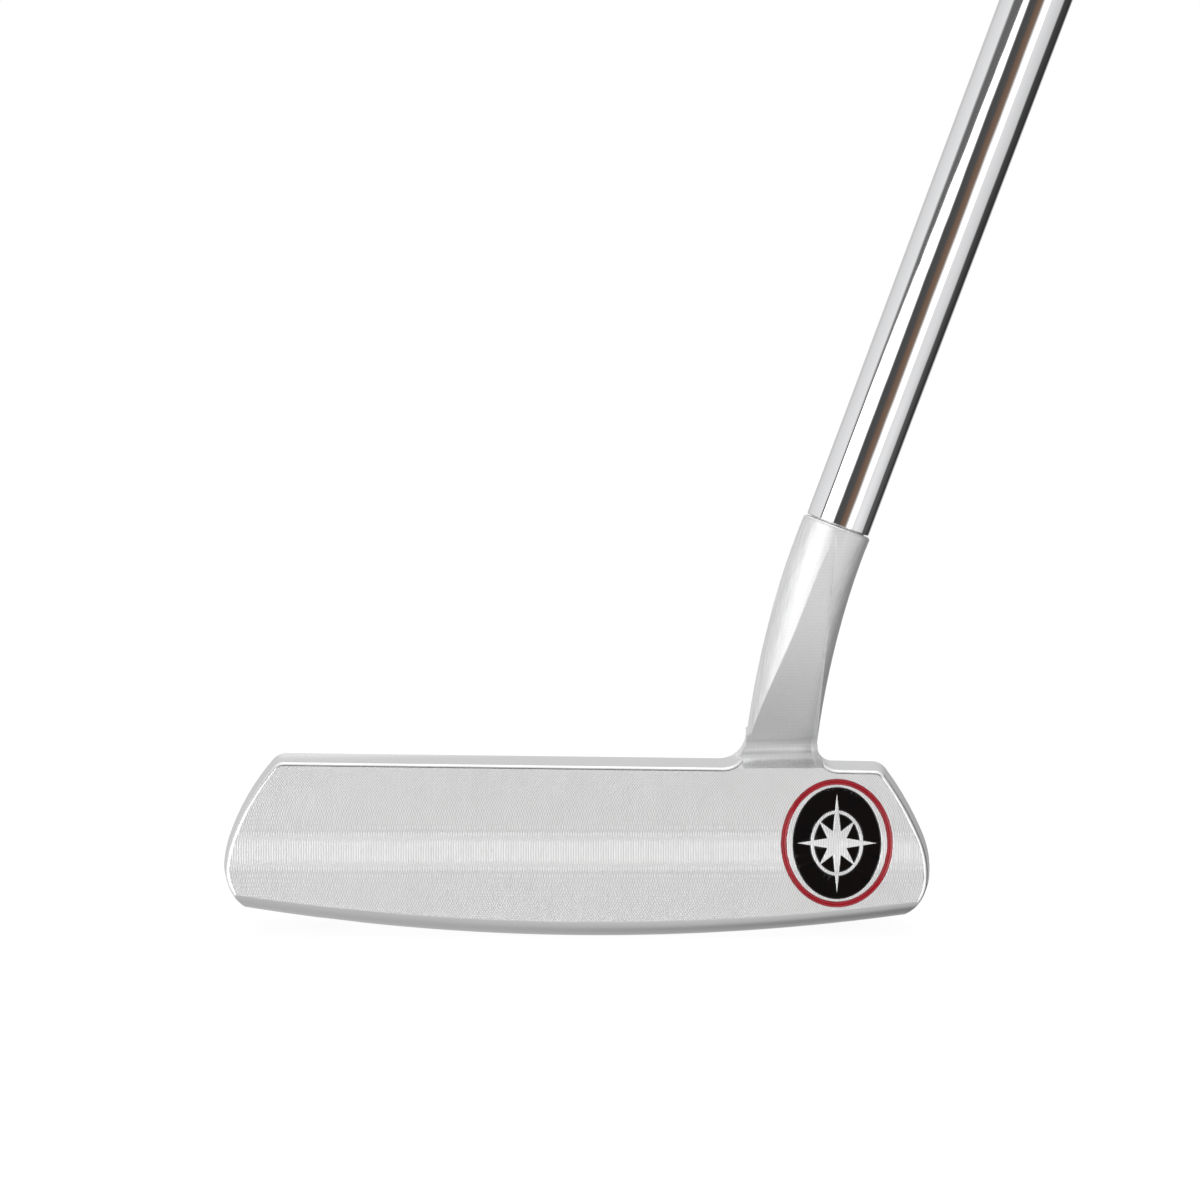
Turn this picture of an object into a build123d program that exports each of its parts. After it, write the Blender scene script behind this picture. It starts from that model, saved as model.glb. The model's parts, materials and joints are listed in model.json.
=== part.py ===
# Blade putter: a one-piece milled steel head with a flowing neck, a chromed steel shaft that
# slips over the neck's post, and a rubber pistol grip.
#
# Frame, in millimetres: the origin is on the strike face, straight above the sole's lowest point.
# -Y is the way the ball leaves, +Z is up, -X is the toe and +X is the heel. The club stands as it
# does at address, so the shaft leans towards the heel by 90 degrees less the lie.
from build123d import *
import os
from math import cos, radians, sin, tan

# ---------------------------------------------------------------- driving dimensions
LIE = 69.5                  # shaft to ground, seen from the front
LOFT = 3.5                  # the strike face leans back by this much
CLUB_LENGTH = 864.0         # 34 inches from the ground to the butt, along the shaft

GROUND = -13.3              # the sole's lowest point
TOE_X = -58.3               # furthest point of the strike face towards the toe
HEEL_X = 50.95              # and towards the heel
TOP_Z = 13.44               # front edge of the topline above the origin
TOP_FALL = 0.0115           # how fast the topline drops towards the heel
SHOULDER_DROP = 0.25        # and how much lower it is on the heel side of the neck
TOPLINE_DEPTH = 7.5         # the blade's thickness at the topline
HEAD_DEPTH = 26.5           # strike face to trailing edge
FLARE = 1.15                # how much the outline grows from the front to the back of the topline
FACE_EDGE_R = 0.65          # rounding round the strike face
RIM_TOP_Z = 16.4            # the rounding ends in the neck's root here
REAR_CORNER_R = 7.0         # trailing corners, seen from above

SOLE_CAMBER_R = 348.0       # heel to toe
SOLE_ROLL_R = 120.0         # front to back
SOLE_LOW_Y = 9.0            # where the sole touches the ground
LEADING_BEVEL = 3.1         # height of the rounded band under the strike face
LEADING_Y = (-0.75, 3.2)    # the band's front and back
TRAILING_Y = (24.0, 27.0)   # the sole turns up between these
TRAILING_RISE = 3.4
UNDER_Z = -16.0             # anywhere below the sole
SEAM = 0.2                  # radians: turns the swung sole's seam out past the heel

# The outline from the topline's toe end down to the sole, and the same at the heel.
TOE_CORNER_X = -50.2
TOE_SLOPE = ((-54.6, 8.0), (-57.4, 1.9))
TOE_SIDE_Z = -2.5
TOE_TURN = (-52.1, -9.45)
HEEL_CORNER_X = 43.7
HEEL_SLOPE = ((47.0, 7.8), (49.95, 1.9))
HEEL_SIDE_Z = -3.9
HEEL_TURN = (45.7, -9.9)
TOP_CORNER_R = 1.6
ROOT_LEFT = 23.0            # the neck's root in the outline, toe side, heel side and top
ROOT_RIGHT = 34.2
ROOT_TOP = 20.5
ROOT_LEAN = (3.4, -3.0)
ROOT_R_FRONT = (3.6, 3.4)   # its fillets into the topline, toe side and heel side
ROOT_R_REAR = (5.4, 3.6)
FRONT_STOCK = 1.5           # metal in front of the origin before the face is cut
WIDE = 80.0                 # more than half the head's length

CAVITY_TOE_X = -25.0
CAVITY_HEEL_X = 17.5
CAVITY_LEAN = 3.0           # how much wider the cavity is at its top, each side
FLANGE_Z = -7.2             # top of the flange between the bumpers
BUMPER_FRONT_Z = 6.8        # the bumpers' top where it meets the blade
BUMPER_BACK_Z = 1.8         # and at the trailing edge
RECESS_DEPTH = 2.0          # the back of the blade is scooped this deep, leaving a thick topline
RECESS_TOP_Z = 8.2
CAVITY_R = 3.0

SHAFT_TIP_D = 10.2
SHAFT_BUTT_D = 14.6
SHAFT_WALL = 0.6
TIP_PARALLEL = 20.0
TAPER_LENGTH = 660.0

NECK_JOINT = Vector(36.9, 0.6, 51.3)
NECK_BASE = Vector(27.7, 7.4, 5.0)
NECK_WAY = ((28.6, 6.2, 17.5), (30.7, 4.7, 30.0), (33.8, 2.0, 42.4))
NECK_START = (0.05, -0.09, 1)   # the way it sets off
NECK_STATIONS = 5
NECK_ROOT_R = 2.0           # fillet behind the blade
NECK_BASE_R = 5.65
NECK_TOP_R = 5.46
JOINT_GAP = 0.2             # between the neck's shoulder and the shaft's end
SHOULDER_CHAMFER = 0.3
POST_LENGTH = 26.0
POST_CHAMFER = 0.5
GLUE = 0.15                 # bond line, radially

LEDGE_Z = 13.45             # where the neck's flat ends in a ledge over the strike face
FLAT_FOOT_Y = 7.4           # the neck's flat would meet the ledge here
FLAT_MIDDLE = (-1.2, 33.0)  # and passes through these, out and up
FLAT_TIP = (-6.0, 48.4)
FLAT_TURN = 14.0            # it looks towards the heel by this much
FLAT_X = 28.9               # the cutter passes over here
FLAT_REACH = 6.1            # and reaches this far to each side
FLAT_FILLET_R = 2.7
FLAT_UNDERCUT = 0.09        # the ledge's fillet bites this far into the flat

EMBLEM_X = 37.0
EMBLEM_Z = 1.75
RING_OUT = (8.72, 10.0)     # half width and half height
RING_IN = (7.87, 9.15)
POOL = (6.95, 8.75)
RING_DEPTH = 0.4
POOL_DEPTH = 0.6
ENAMEL_SINK = 0.08          # the enamel dries this far below the metal
STAR_POINTS = (7.8, 5.0, 2.0)   # long points, short points and waist of the compass star
STAR_SLIM = 0.8             # its width against its height
ROSE_OUT = (4.1, 5.1)       # the rose's ring
ROSE_IN = (3.6, 4.6)

SIGHT_X = -3.75             # sight line, down the middle of the cavity
SIGHT_WIDTH = 1.4
SIGHT_DEPTH = 0.5
SIGHT_MARGIN = 2.0          # bare flange before and behind it

WEIGHT_X = (-45.0, 38.0)    # toe and heel
WEIGHT_Y = 15.5
WEIGHT_HEAD_R = 5.5
WEIGHT_HEAD_H = 1.6
WEIGHT_BODY_R = 4.0
WEIGHT_BODY_H = 5.6
WEIGHT_SINK = 0.3           # the weight's head sits this far below the sole
SOCKET_ACROSS = 4.0
SOCKET_DEPTH = 3.2
SEAL_THICK = 0.8
SEAL_INSET = 0.2
RUN = 0.05                  # radial clearance round the weights
POCKET_SPARE = 0.6          # room under the weight's end
POCKET_LEAD = 3.0           # the pocket's cutter starts this far outside the sole

GRIP_LENGTH = 267.0
TAPE_THICK = 0.15
TAPE_INSET = 6.0            # the tape starts this far inside the grip's mouth
MOUTH_R = 9.2
CAP_THICK = 4.0
CAP_ROUND = 2.0
CAP_PLUG = 12.0             # the cap's plug reaches this far into the shaft
CAP_SLIP = 0.1
VENT_R = 0.9
TIP_BEVEL = 0.15

SHAFT_AXIS = Vector(cos(radians(LIE)), 0, sin(radians(LIE)))
FACE = Plane(origin=(0, 0, 0), x_dir=(1, 0, 0), z_dir=(0, -cos(radians(LOFT)), sin(radians(LOFT))))
AXIS = Plane(origin=NECK_JOINT, x_dir=(0, 1, 0), z_dir=SHAFT_AXIS)

EMBLEM = Plane(
    origin=(EMBLEM_X, EMBLEM_Z * tan(radians(LOFT)), EMBLEM_Z), x_dir=FACE.x_dir, z_dir=FACE.z_dir
)


def top_z(x):
    """Height of the topline's front edge."""
    return TOP_Z - TOP_FALL * x


os.makedirs("parts", exist_ok=True)

# ---------------------------------------------------------------- sketches for the head
def blade_outline(plane, root_fillets, grow=0.0):
    """The blade's outline with the neck's root, as one closed face; grow widens all but the root."""
    toe_fillet, heel_fillet = root_fillets
    left = ROOT_LEFT + grow
    right = ROOT_RIGHT - grow
    toe_corner = (TOE_CORNER_X, top_z(TOE_CORNER_X))
    heel_corner = (HEEL_CORNER_X, top_z(HEEL_CORNER_X) - SHOULDER_DROP)
    left_root = top_z(left)
    right_root = top_z(right) - SHOULDER_DROP
    with BuildSketch(plane) as outline:
        with BuildLine():
            Line(toe_corner, (left - toe_fillet, left_root))
            RadiusArc((left - toe_fillet, left_root), (left, left_root + toe_fillet), -toe_fillet)
            Polyline(
                (left, left_root + toe_fillet),
                (left + ROOT_LEAN[0], ROOT_TOP),
                (right + ROOT_LEAN[1], ROOT_TOP),
                (right, right_root + heel_fillet),
            )
            RadiusArc((right, right_root + heel_fillet), (right + heel_fillet, right_root), -heel_fillet)
            Line((right + heel_fillet, right_root), heel_corner)
            heel_slope = ThreePointArc(heel_corner, *HEEL_SLOPE)
            heel_side = TangentArc(heel_slope @ 1, (HEEL_X, HEEL_SIDE_Z), tangent=heel_slope % 1)
            heel_turn = TangentArc(heel_side @ 1, HEEL_TURN, tangent=(0, -1))
            toe_slope = ThreePointArc(toe_corner, *TOE_SLOPE)
            toe_side = TangentArc(toe_slope @ 1, (TOE_X, TOE_SIDE_Z), tangent=toe_slope % 1)
            toe_turn = TangentArc(toe_side @ 1, TOE_TURN, tangent=(0, -1))
            Polyline(heel_turn @ 1, (HEEL_TURN[0] - 4, UNDER_Z), (TOE_TURN[0] + 2, UNDER_Z), toe_turn @ 1)
        make_face()
        top_corners = [outline.vertices().sort_by_distance(toe_corner)[0]]
        top_corners.append(outline.vertices().sort_by_distance(heel_corner)[0])
        fillet(top_corners, TOP_CORNER_R)
        if grow:
            offset(amount=grow, kind=Kind.INTERSECTION)
    return outline.sketch


def sole_rise(y):
    """How far the sole's roll has lifted it from its lowest line."""
    return (y - SOLE_LOW_Y) ** 2 / (2 * SOLE_ROLL_R)


def weight_plane(x):
    """A plane on the sole over a weight, whose normal points out of the head, downwards."""
    height = GROUND + sole_rise(WEIGHT_Y) + x * x / (2 * SOLE_CAMBER_R)
    outward = Vector(x / SOLE_CAMBER_R, (WEIGHT_Y - SOLE_LOW_Y) / SOLE_ROLL_R, -1)
    return Plane(origin=(x, WEIGHT_Y, height), x_dir=(1, 0, x / SOLE_CAMBER_R), z_dir=outward)


def ring_sketch():
    """The groove round the emblem."""
    with BuildSketch() as groove:
        Ellipse(*RING_OUT)
        Ellipse(*RING_IN, mode=Mode.SUBTRACT)
    return groove.sketch


def star_sketch():
    """An eight-pointed compass star, long points up, down, left and right."""
    long_point, short_point, waist = STAR_POINTS
    reaches = (long_point, waist, short_point, waist) * 4
    corners = []
    for index, reach in enumerate(reaches):
        turn = radians(90 + index * 360 / len(reaches))
        corners.append((reach * cos(turn) * STAR_SLIM, reach * sin(turn)))
    with BuildSketch() as star:
        with BuildLine():
            Polyline(*corners, close=True)
        make_face()
    return star.sketch


def pool_sketch():
    """The enamel pool, less the compass rose of bare metal that stands up in it."""
    with BuildSketch() as rose:
        Ellipse(*ROSE_OUT)
        Ellipse(*ROSE_IN, mode=Mode.SUBTRACT)
        add(star_sketch())
    with BuildSketch() as pool:
        Ellipse(*POOL)
        add(rose.sketch, mode=Mode.SUBTRACT)
    return pool.sketch


def sight_sketch():
    """The sight line, a slot down the middle of the flange."""
    length = HEAD_DEPTH - TOPLINE_DEPTH - 2 * SIGHT_MARGIN
    with BuildSketch() as slot:
        with Locations((SIGHT_X, (TOPLINE_DEPTH + HEAD_DEPTH) / 2)):
            SlotOverall(length, SIGHT_WIDTH, rotation=90)
    return slot.sketch


with BuildPart() as head:
    # the blade, front to the back of the topline
    add(blade_outline(Plane.XZ.offset(FRONT_STOCK), ROOT_R_FRONT))
    add(blade_outline(Plane.XZ.offset(-TOPLINE_DEPTH), ROOT_R_REAR, FLARE))
    loft(ruled=True)
    # the bumpers and the flange behind it
    add(blade_outline(Plane.XZ.offset(-TOPLINE_DEPTH), ROOT_R_REAR, FLARE))
    extrude(amount=HEAD_DEPTH + 2 - TOPLINE_DEPTH, dir=(0, 1, 0))
    with BuildSketch(Plane.YZ):
        with BuildLine():
            Polyline(
                (-2, 30),
                (TOPLINE_DEPTH, 30),
                (TOPLINE_DEPTH, BUMPER_FRONT_Z),
                (HEAD_DEPTH + 3, BUMPER_BACK_Z),
                (HEAD_DEPTH + 3, -20),
                (-2, -20),
                close=True,
            )
        make_face()
    extrude(amount=WIDE, both=True, mode=Mode.INTERSECT)
    # the cavity between the bumpers
    with BuildSketch(Plane.XZ.offset(-TOPLINE_DEPTH)) as cavity_sketch:
        with BuildLine():
            Polyline(
                (CAVITY_TOE_X - CAVITY_LEAN, 10),
                (CAVITY_TOE_X, FLANGE_Z),
                (CAVITY_HEEL_X, FLANGE_Z),
                (CAVITY_HEEL_X + CAVITY_LEAN, 10),
                close=True,
            )
        make_face()
        fillet(cavity_sketch.vertices().group_by(Axis.Z)[0], CAVITY_R)
    extrude(amount=-40, mode=Mode.SUBTRACT)
    # seen from above: straight sides that draw in a little, round trailing corners
    with BuildSketch(Plane.XY.offset(-20)) as plan_sketch:
        with BuildLine():
            Polyline(
                (-70, -3),
                (-70, 3),
                (TOE_X - 1.5, 8),
                (TOE_X + 1.5, HEAD_DEPTH),
                (HEEL_X - 1.5, HEAD_DEPTH),
                (HEEL_X + 1.5, 8),
                (64, 3),
                (64, -3),
                close=True,
            )
        make_face()
        fillet(plan_sketch.vertices().group_by(Axis.Y)[-1], REAR_CORNER_R)
    extrude(amount=60, mode=Mode.INTERSECT)
    # the sole: one front-to-back profile swung heel to toe
    hub = Plane(
        origin=(0, 0, GROUND + SOLE_CAMBER_R), x_dir=(0, 1, 0), z_dir=(cos(SEAM), 0, -sin(SEAM))
    )
    with BuildSketch(hub):
        with BuildLine():
            roll = ThreePointArc(
                (LEADING_Y[1], sole_rise(LEADING_Y[1]) - SOLE_CAMBER_R),
                (SOLE_LOW_Y, -SOLE_CAMBER_R),
                (TRAILING_Y[0], sole_rise(TRAILING_Y[0]) - SOLE_CAMBER_R),
            )
            lead = TangentArc(
                roll @ 0, (LEADING_Y[0], LEADING_BEVEL - SOLE_CAMBER_R), tangent=-(roll % 0)
            )
            front = Line(lead @ 1, (lead @ 1) + (lead % 1) * 4)
            trail = TangentArc(
                roll @ 1, (TRAILING_Y[1], TRAILING_RISE - SOLE_CAMBER_R), tangent=roll % 1
            )
            Polyline(trail @ 1, (40, WIDE - SOLE_CAMBER_R), (-10, WIDE - SOLE_CAMBER_R), front @ 1)
        make_face()
    revolve(axis=Axis((0, 0, GROUND + SOLE_CAMBER_R), (0, 1, 0)), revolution_arc=360, mode=Mode.INTERSECT)
    split(bisect_by=FACE, keep=Keep.BOTTOM)
    # the back of the blade is scooped out under the topline
    with BuildSketch(Plane.XZ.offset(RECESS_DEPTH - TOPLINE_DEPTH)) as recess_sketch:
        with BuildLine():
            Polyline(
                (CAVITY_TOE_X - 1.2, RECESS_TOP_Z),
                (CAVITY_TOE_X + 1.0, FLANGE_Z + 0.5),
                (CAVITY_HEEL_X - 1.0, FLANGE_Z + 0.5),
                (CAVITY_HEEL_X + 1.2, RECESS_TOP_Z),
                close=True,
            )
        make_face()
        fillet(recess_sketch.vertices(), CAVITY_R)
    extrude(amount=-4, mode=Mode.SUBTRACT)
    # a soft edge round the strike face
    strike = head.faces().filter_by(FACE).sort_by(SortBy.AREA)[-1]
    lowest = strike.edges().sort_by(Axis.Z)[0]
    rim = strike.edges().filter_by(lambda edge: lowest.center().Z < edge.center().Z < RIM_TOP_Z)
    fillet(rim, FACE_EDGE_R)
    # the flowing neck, a round bar that bends from the blade up to the shaft's lean
    with BuildLine(mode=Mode.PRIVATE):
        flow = Spline(
            NECK_BASE,
            *NECK_WAY,
            NECK_JOINT,
            tangents=[NECK_START, SHAFT_AXIS],
        )
    for index in range(NECK_STATIONS):
        step = index / (NECK_STATIONS - 1)
        along = flow % step
        across = Vector(0, 1, 0).cross(along)
        with BuildSketch(Plane(origin=flow @ step, x_dir=across, z_dir=along)):
            Circle(NECK_BASE_R + (NECK_TOP_R - NECK_BASE_R) * step)
    bare = head.edges()
    loft()
    root = (head.edges() - bare).filter_by(lambda edge: edge.center().Y > TOPLINE_DEPTH + 2)
    fillet(root, NECK_ROOT_R)
    # the flat milled on the neck's front, running out in a ledge over the strike face
    turn = radians(FLAT_TURN)
    cutter_plane = Plane(
        origin=(FLAT_X, 0, 0), x_dir=(-sin(turn), cos(turn), 0), z_dir=(cos(turn), sin(turn), 0)
    )
    with BuildSketch(cutter_plane) as flat_sketch:
        with BuildLine():
            hollow = ThreePointArc((FLAT_FOOT_Y, LEDGE_Z), FLAT_MIDDLE, FLAT_TIP)
            runout = Line(hollow @ 1, (hollow @ 1) + (hollow % 1) * 15)
            Polyline(runout @ 1, (-30, 60), (-30, LEDGE_Z), hollow @ 0)
        make_face()
        fillet(flat_sketch.vertices().sort_by_distance((FLAT_FOOT_Y, LEDGE_Z))[0], FLAT_FILLET_R)
        ledge_arc = flat_sketch.edges().filter_by(GeomType.CIRCLE).sort_by(SortBy.RADIUS)[0]
        with Locations(ledge_arc.arc_center + Vector(FLAT_UNDERCUT, 0)):
            Circle(FLAT_FILLET_R)
    extrude(amount=FLAT_REACH, both=True, mode=Mode.SUBTRACT)
    # the post that the shaft slips over
    with BuildSketch(AXIS):
        Circle(SHAFT_TIP_D / 2 - SHAFT_WALL - GLUE)
    extrude(amount=POST_LENGTH)
    shoulder = head.edges().sort_by_distance(NECK_JOINT + Vector(0, NECK_TOP_R, 0))[0]
    chamfer(shoulder, SHOULDER_CHAMFER)
    chamfer(head.faces().sort_by(Axis.Z)[-1].edges(), POST_CHAMFER)
    # the emblem: a ring groove and a pool with a compass rose standing up in it
    with BuildSketch(EMBLEM):
        add(ring_sketch())
    extrude(amount=-RING_DEPTH, mode=Mode.SUBTRACT)
    with BuildSketch(EMBLEM):
        add(pool_sketch())
    extrude(amount=-POOL_DEPTH, mode=Mode.SUBTRACT)
    # the sight line's groove in the flange
    with BuildSketch(Plane.XY.offset(FLANGE_Z)):
        add(sight_sketch())
    extrude(amount=-SIGHT_DEPTH, mode=Mode.SUBTRACT)
    # the two threaded pockets in the sole
    seat_depth = WEIGHT_SINK + WEIGHT_HEAD_H + SEAL_THICK
    thread_depth = seat_depth + WEIGHT_BODY_H + POCKET_SPARE
    for x in WEIGHT_X:
        for radius, depth in ((WEIGHT_HEAD_R, seat_depth), (WEIGHT_BODY_R, thread_depth)):
            with BuildSketch(weight_plane(x).offset(POCKET_LEAD)):
                Circle(radius + RUN)
            extrude(amount=-(POCKET_LEAD + depth), mode=Mode.SUBTRACT)
head.part.label = "head_body"
export_step(head.part, "parts/head_body.step")

# ---------------------------------------------------------------- paint fills
with BuildPart() as ring_enamel:
    with BuildSketch(EMBLEM.offset(-RING_DEPTH)):
        add(ring_sketch())
    extrude(amount=RING_DEPTH - ENAMEL_SINK)
ring_enamel.part.label = "ring_enamel"
export_step(ring_enamel.part, "parts/ring_enamel.step")

with BuildPart() as emblem_enamel:
    with BuildSketch(EMBLEM.offset(-POOL_DEPTH)):
        add(pool_sketch())
    extrude(amount=POOL_DEPTH - ENAMEL_SINK)
emblem_enamel.part.label = "emblem_enamel"
export_step(emblem_enamel.part, "parts/emblem_enamel.step")

with BuildPart() as sight_line_paint:
    with BuildSketch(Plane.XY.offset(FLANGE_Z - SIGHT_DEPTH)):
        add(sight_sketch())
    extrude(amount=SIGHT_DEPTH - ENAMEL_SINK)
sight_line_paint.part.label = "sight_line_paint"
export_step(sight_line_paint.part, "parts/sight_line_paint.step")

# ---------------------------------------------------------------- sole weights and their seals
with BuildPart() as sole_weights:
    for x in WEIGHT_X:
        seat = weight_plane(x).offset(-WEIGHT_SINK)
        with BuildSketch(seat):
            Circle(WEIGHT_HEAD_R)
        extrude(amount=-WEIGHT_HEAD_H)
        with BuildSketch(seat.offset(-WEIGHT_HEAD_H)):
            Circle(WEIGHT_BODY_R)
        extrude(amount=-(SEAL_THICK + WEIGHT_BODY_H))
        with BuildSketch(seat):
            RegularPolygon(SOCKET_ACROSS / 2, 6, major_radius=False)
        extrude(amount=-SOCKET_DEPTH, mode=Mode.SUBTRACT)
sole_weights.part.label = "sole_weights"
export_step(sole_weights.part, "parts/sole_weights.step")

with BuildPart() as weight_seals:
    for x in WEIGHT_X:
        with BuildSketch(weight_plane(x).offset(-WEIGHT_SINK - WEIGHT_HEAD_H)):
            Circle(WEIGHT_HEAD_R - SEAL_INSET)
            Circle(WEIGHT_BODY_R + RUN, mode=Mode.SUBTRACT)
        extrude(amount=-SEAL_THICK)
weight_seals.part.label = "weight_seals"
export_step(weight_seals.part, "parts/weight_seals.step")

# ---------------------------------------------------------------- shaft and its bond
SHAFT_LENGTH = CLUB_LENGTH - (NECK_JOINT.Z - GROUND) / sin(radians(LIE)) - JOINT_GAP - CAP_THICK
BORE_TIP = SHAFT_TIP_D / 2 - SHAFT_WALL
BORE_BUTT = SHAFT_BUTT_D / 2 - SHAFT_WALL

# places along the shaft, from the neck's shoulder
TAPER_START = JOINT_GAP + TIP_PARALLEL
TAPER_END = TAPER_START + TAPER_LENGTH
BUTT = JOINT_GAP + SHAFT_LENGTH
BORE_TAPER_START = POST_LENGTH + 4

HALF = Plane(origin=NECK_JOINT, x_dir=(0, 1, 0), z_dir=SHAFT_AXIS.cross(Vector(0, 1, 0)) * -1)


def shaft_radius(along):
    """Outer radius of the shaft at a distance along it from the neck's shoulder."""
    share = min(max((along - TAPER_START) / TAPER_LENGTH, 0), 1)
    return SHAFT_TIP_D / 2 + (SHAFT_BUTT_D - SHAFT_TIP_D) / 2 * share


with BuildPart() as hosel_epoxy:
    with BuildSketch(AXIS.offset(JOINT_GAP)):
        Circle(BORE_TIP)
        Circle(BORE_TIP - GLUE, mode=Mode.SUBTRACT)
    extrude(amount=POST_LENGTH - JOINT_GAP - 2 * POST_CHAMFER)
hosel_epoxy.part.label = "hosel_epoxy"
export_step(hosel_epoxy.part, "parts/hosel_epoxy.step")

with BuildPart() as shaft:
    with BuildSketch(HALF):
        with BuildLine():
            Polyline(
                (BORE_TIP, JOINT_GAP),
                (SHAFT_TIP_D / 2 - TIP_BEVEL, JOINT_GAP),
                (SHAFT_TIP_D / 2, JOINT_GAP + TIP_BEVEL),
                (SHAFT_TIP_D / 2, TAPER_START),
                (SHAFT_BUTT_D / 2, TAPER_END),
                (SHAFT_BUTT_D / 2, BUTT),
                (BORE_BUTT, BUTT),
                (BORE_BUTT, TAPER_END),
                (BORE_TIP, BORE_TAPER_START),
                close=True,
            )
        make_face()
    revolve(axis=Axis(NECK_JOINT, SHAFT_AXIS))
shaft.part.label = "shaft"
export_step(shaft.part, "parts/shaft.step")

# ---------------------------------------------------------------- grip
GRIP_START = BUTT - GRIP_LENGTH + CAP_THICK
TAPE_START = GRIP_START + TAPE_INSET

with BuildPart() as grip_tape:
    with BuildSketch(HALF):
        with BuildLine():
            Polyline(
                (shaft_radius(TAPE_START), TAPE_START),
                (shaft_radius(TAPE_START) + TAPE_THICK, TAPE_START),
                (shaft_radius(TAPER_END) + TAPE_THICK, TAPER_END),
                (shaft_radius(BUTT) + TAPE_THICK, BUTT),
                (shaft_radius(BUTT), BUTT),
                (shaft_radius(TAPER_END), TAPER_END),
                close=True,
            )
        make_face()
    revolve(axis=Axis(NECK_JOINT, SHAFT_AXIS))
grip_tape.part.label = "grip_tape"
export_step(grip_tape.part, "parts/grip_tape.step")

# Stations down the grip: distance from the butt, half width, flat's height, belly's depth.
GRIP_STATIONS = (
    (0.0, 12.2, 10.6, 18.6),
    (12.0, 12.6, 10.8, 19.0),
    (55.0, 12.7, 10.9, 18.0),
    (110.0, 12.2, 10.6, 14.6),
    (180.0, 11.1, 10.0, 12.2),
    (240.0, 9.9, 9.6, 10.2),
)


def grip_section(half_width, flat, belly):
    """One slice of the grip: a flat on top for the thumbs and a rounded belly underneath."""
    with BuildSketch() as grip_slice:
        with BuildLine():
            shoulder = (half_width * 0.55, flat)
            side = (half_width, 0)
            Line((0, flat), shoulder)
            ThreePointArc(shoulder, (half_width * 0.88, flat * 0.66), side)
            ThreePointArc(side, (half_width * 0.72, -belly * 0.72), (0, -belly))
            mirror(about=Plane.YZ)
        make_face()
    return grip_slice.sketch


with BuildPart() as grip:
    for from_butt, half_width, flat, belly in GRIP_STATIONS:
        with BuildSketch(AXIS.offset(BUTT - from_butt)):
            add(grip_section(half_width, flat, belly))
    with BuildSketch(AXIS.offset(GRIP_START)):
        add(grip_section(MOUTH_R, MOUTH_R, MOUTH_R))
    loft()
    with BuildSketch(HALF):
        with BuildLine():
            Polyline(
                (0, GRIP_START - 1),
                (shaft_radius(GRIP_START) + TAPE_THICK, GRIP_START - 1),
                (shaft_radius(TAPER_END) + TAPE_THICK, TAPER_END),
                (shaft_radius(BUTT) + TAPE_THICK, BUTT + 1),
                (0, BUTT + 1),
                close=True,
            )
        make_face()
    revolve(axis=Axis(NECK_JOINT, SHAFT_AXIS), mode=Mode.SUBTRACT)
grip.part.label = "grip"
export_step(grip.part, "parts/grip.step")

with BuildPart() as grip_end_cap:
    with BuildSketch(AXIS.offset(BUTT)):
        add(grip_section(*GRIP_STATIONS[0][1:]))
    extrude(amount=CAP_THICK)
    fillet(grip_end_cap.faces().sort_by(Axis(NECK_JOINT, SHAFT_AXIS))[-1].edges(), CAP_ROUND)
    with BuildSketch(AXIS.offset(BUTT)):
        Circle(BORE_BUTT - CAP_SLIP)
    extrude(amount=-CAP_PLUG)
    with BuildSketch(AXIS.offset(BUTT - CAP_PLUG)):
        Circle(VENT_R)
    extrude(amount=CAP_PLUG + CAP_THICK, mode=Mode.SUBTRACT)
grip_end_cap.part.label = "grip_end_cap"
export_step(grip_end_cap.part, "parts/grip_end_cap.step")
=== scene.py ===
"""Looks for the blade putter: milled steel head, enamelled badge, chromed shaft, rubber grip."""

import json
import math

import bmesh
import bpy
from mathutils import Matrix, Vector


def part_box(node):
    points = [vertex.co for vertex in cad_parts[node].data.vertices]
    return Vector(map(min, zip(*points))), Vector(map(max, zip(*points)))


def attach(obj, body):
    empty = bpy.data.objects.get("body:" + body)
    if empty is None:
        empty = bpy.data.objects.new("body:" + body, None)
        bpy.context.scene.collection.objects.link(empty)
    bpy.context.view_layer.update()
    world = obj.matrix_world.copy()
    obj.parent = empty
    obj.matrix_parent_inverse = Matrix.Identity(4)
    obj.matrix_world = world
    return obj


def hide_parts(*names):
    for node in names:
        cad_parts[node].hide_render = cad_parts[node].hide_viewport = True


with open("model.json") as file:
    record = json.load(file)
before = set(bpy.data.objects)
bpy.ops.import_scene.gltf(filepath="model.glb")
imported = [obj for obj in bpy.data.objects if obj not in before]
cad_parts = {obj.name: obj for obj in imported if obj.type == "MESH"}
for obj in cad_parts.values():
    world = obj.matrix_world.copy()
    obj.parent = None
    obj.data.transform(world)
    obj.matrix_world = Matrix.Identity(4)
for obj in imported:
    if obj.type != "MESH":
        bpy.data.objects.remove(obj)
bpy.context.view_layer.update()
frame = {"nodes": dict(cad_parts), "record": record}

MM = 0.001
NODES = frame["nodes"]
MOUNTS = {mount["name"]: mount for mount in frame["record"]["mounts"]}
AXIS = Vector(MOUNTS["grip_hold"]["axis"]).normalized()
AXIS_POINT = Vector(MOUNTS["grip_hold"]["pos_m"])
FACE_NORMAL = Vector(MOUNTS["strike_face"]["axis"]).normalized()
SIDE = Vector((0, 1, 0))
FRONT = AXIS.cross(SIDE)            # the grip's flat looks this way, up and towards the toe


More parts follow.
